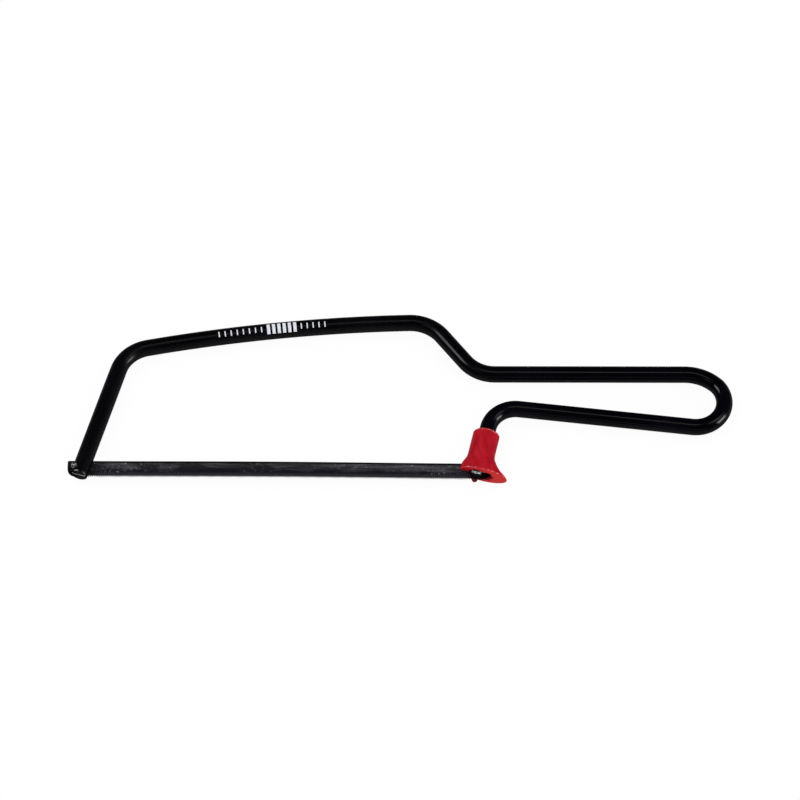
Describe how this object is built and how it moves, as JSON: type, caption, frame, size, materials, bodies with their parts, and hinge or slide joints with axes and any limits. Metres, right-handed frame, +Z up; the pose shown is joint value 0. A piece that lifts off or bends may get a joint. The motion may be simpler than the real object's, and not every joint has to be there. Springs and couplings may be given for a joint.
{
  "type": "junior hacksaw",
  "caption": "Junior hacksaw: fine-toothed pin-end blade sprung across a bow bent from one coated steel rod that loops back as its own handle, with a red finger guard.",
  "frame": {"origin": "middle of the underside of the box that holds the saw lying flat on its side", "axes": "+X along the blade from its front pin towards the handle, +Y from the teeth towards the bow's top bar, +Z up, square to the bow's plane"},
  "size_m": [0.2376, 0.0694, 0.0082],
  "materials": {
    "coat": "glossy black plastic coat",
    "rod_steel": "bare spring steel",
    "blade_steel": "blue-black tempered steel, smudged",
    "pin_steel": "plain turned steel",
    "guard": "glossy red moulded plastic"
  },
  "bodies": {
    "frame": {"bow_rod": "rod_steel", "bow_coat": "coat", "finger_guard": "guard"},
    "front_arm": {"front_arm_rod": "rod_steel", "front_arm_coat": "coat"},
    "blade": {"blade": "blade_steel", "front_pin": "pin_steel", "rear_pin": "pin_steel"}
  },
  "joints": [
    {"name": "bow_flex", "type": "hinge", "parent": "frame", "child": "front_arm", "pos_m": [-0.09804, 0.01698, 0.0041], "axis": [0, 0, 1], "range_deg": [0, 5], "stiffness_Nm_per_rad": 5},
    {"name": "blade_unhook", "type": "hinge", "parent": "front_arm", "child": "blade", "pos_m": [-0.11628, -0.03059, 0.0041], "axis": [0, 0, -1], "range_deg": [0, 25]}
  ],
  "couplings": [
    {"joint": "bow_flex", "follows": "blade_unhook", "ratio": 0.2}
  ]
}
